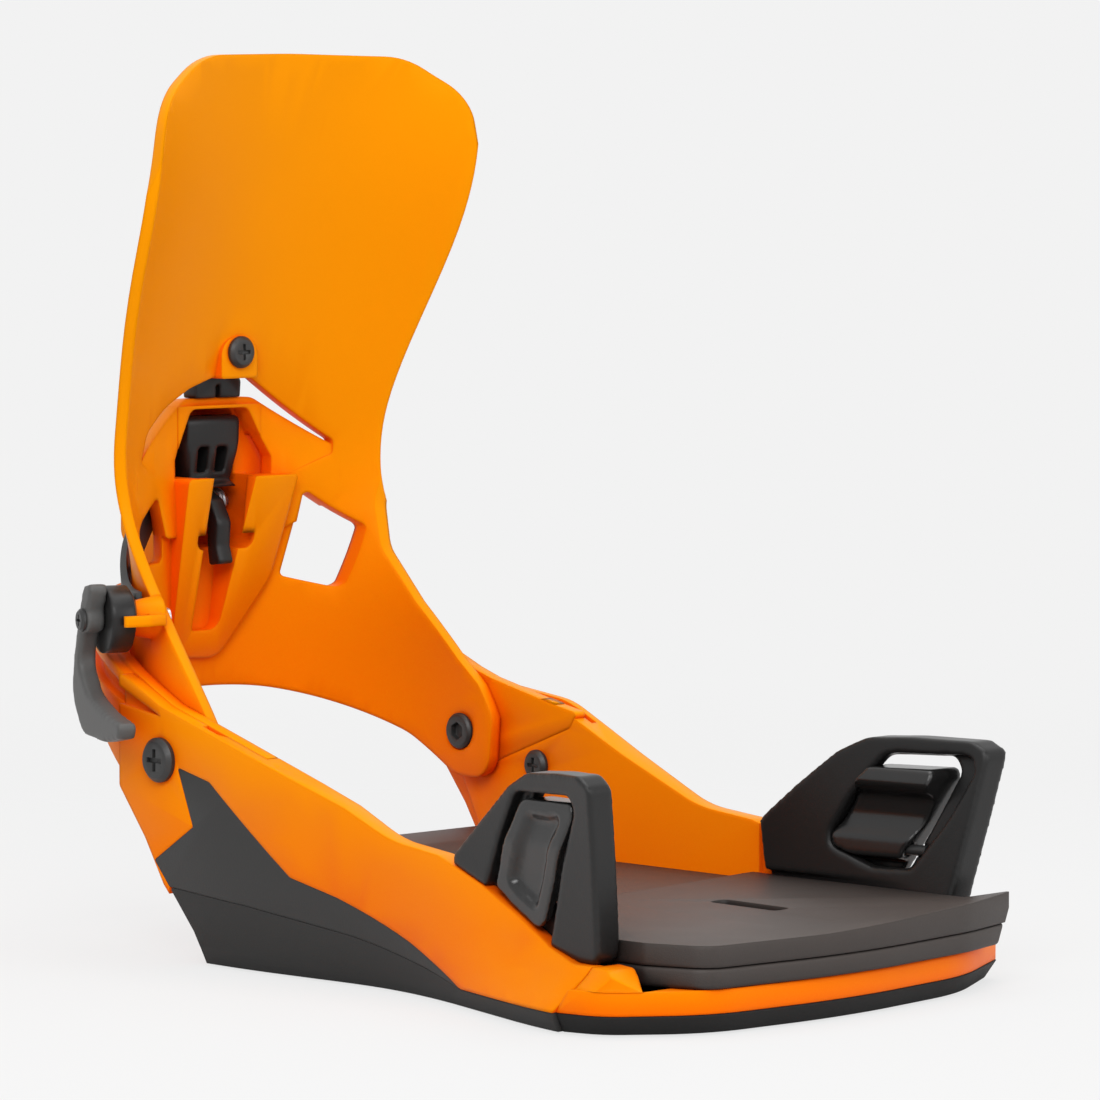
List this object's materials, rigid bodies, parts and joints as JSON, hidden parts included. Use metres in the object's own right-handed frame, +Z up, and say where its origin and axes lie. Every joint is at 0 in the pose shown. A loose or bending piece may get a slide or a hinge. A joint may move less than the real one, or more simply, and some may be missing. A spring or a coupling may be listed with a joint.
{
  "type": "snowboard binding",
  "caption": "Step-in snowboard binding for the right foot with highback, heel latch, release lever and toe cages.",
  "frame": {"origin": "centre of the mounting disc on the plane of the sole's underside", "axes": "+Z up from the board, +Y towards the heel, +X towards the inner side of the foot"},
  "size_m": [0.1595, 0.2785, 0.25],
  "materials": {
    "orange_nylon": "satin moulded",
    "black_nylon": "fine texture",
    "grey_nylon": "fine texture",
    "black_rubber": "matt",
    "dark_foam": "soft foam",
    "black_steel": "black oxide",
    "bright_steel": "bright"
  },
  "bodies": {
    "base": {"cage_screws": "black_steel", "chassis": "orange_nylon", "footbed": "dark_foam", "heel_hoop": "orange_nylon", "heel_pad": "dark_foam", "hoop_screws": "black_steel", "mounting_disc": "black_nylon", "pivot_nut_inner": "black_steel", "pivot_nut_outer": "black_steel", "pivot_screw_inner": "black_steel", "pivot_screw_outer": "black_steel", "side_panel_inner": "black_nylon", "side_panel_outer": "black_nylon", "sole": "black_rubber", "toe_cage_inner": "black_nylon", "toe_cage_outer": "black_nylon", "toe_clip_pin_inner": "bright_steel", "toe_clip_pin_outer": "bright_steel", "toe_end": "orange_nylon", "toe_ramp": "dark_foam", "toe_sole": "black_rubber"},
    "highback": {"highback": "orange_nylon", "highback_screw": "black_steel", "lean_clip": "black_nylon", "lean_block": "black_nylon", "latch_pin": "bright_steel", "latch_spring": "bright_steel"},
    "heel_latch": {"heel_latch": "black_steel", "latch_tail": "black_steel"},
    "release_lever": {"release_lever": "grey_nylon", "lever_hub": "black_nylon", "lever_shaft": "bright_steel", "lever_screw": "black_steel"},
    "lever_link": {"lever_link": "black_nylon"},
    "toe_clip_inner": {"toe_clip_inner": "black_nylon"},
    "toe_clip_outer": {"toe_clip_outer": "black_nylon"}
  },
  "joints": [
    {"name": "highback_fold", "type": "hinge", "parent": "base", "child": "highback", "pos_m": [0, 0.086, 0.0555], "axis": [1, 0, 0], "range_deg": [0, 75]},
    {"name": "lever_turn", "type": "hinge", "parent": "highback", "child": "release_lever", "pos_m": [-0.0504, 0.104, 0.093], "axis": [0.9397, -0.342, 0], "range_deg": [-40, 0], "stiffness_Nm_per_rad": 0.4, "springref_deg": 20.05},
    {"name": "latch_turn", "type": "hinge", "parent": "highback", "child": "heel_latch", "pos_m": [0, 0.145, 0.121], "axis": [1, 0, 0], "range_deg": [-30, 0]},
    {"name": "link_turn", "type": "hinge", "parent": "release_lever", "child": "lever_link", "pos_m": [-0.04831, 0.10974, 0.09522], "axis": [0.9397, -0.342, 0], "range_deg": [0, 40]},
    {"name": "toe_clip_inner_swing", "type": "hinge", "parent": "base", "child": "toe_clip_inner", "pos_m": [0.06031, -0.0667, 0.03489], "axis": [-0.1406, 0.9901, 0], "range_deg": [0, 6], "stiffness_Nm_per_rad": 0.8, "springref_deg": -11.46},
    {"name": "toe_clip_outer_swing", "type": "hinge", "parent": "base", "child": "toe_clip_outer", "pos_m": [-0.06031, -0.0667, 0.03489], "axis": [-0.1406, -0.9901, 0], "range_deg": [0, 6], "stiffness_Nm_per_rad": 0.8, "springref_deg": -11.46}
  ],
  "couplings": [
    {"joint": "latch_turn", "follows": "lever_turn", "ratio": 0.75},
    {"joint": "link_turn", "follows": "lever_turn", "ratio": -1}
  ]
}
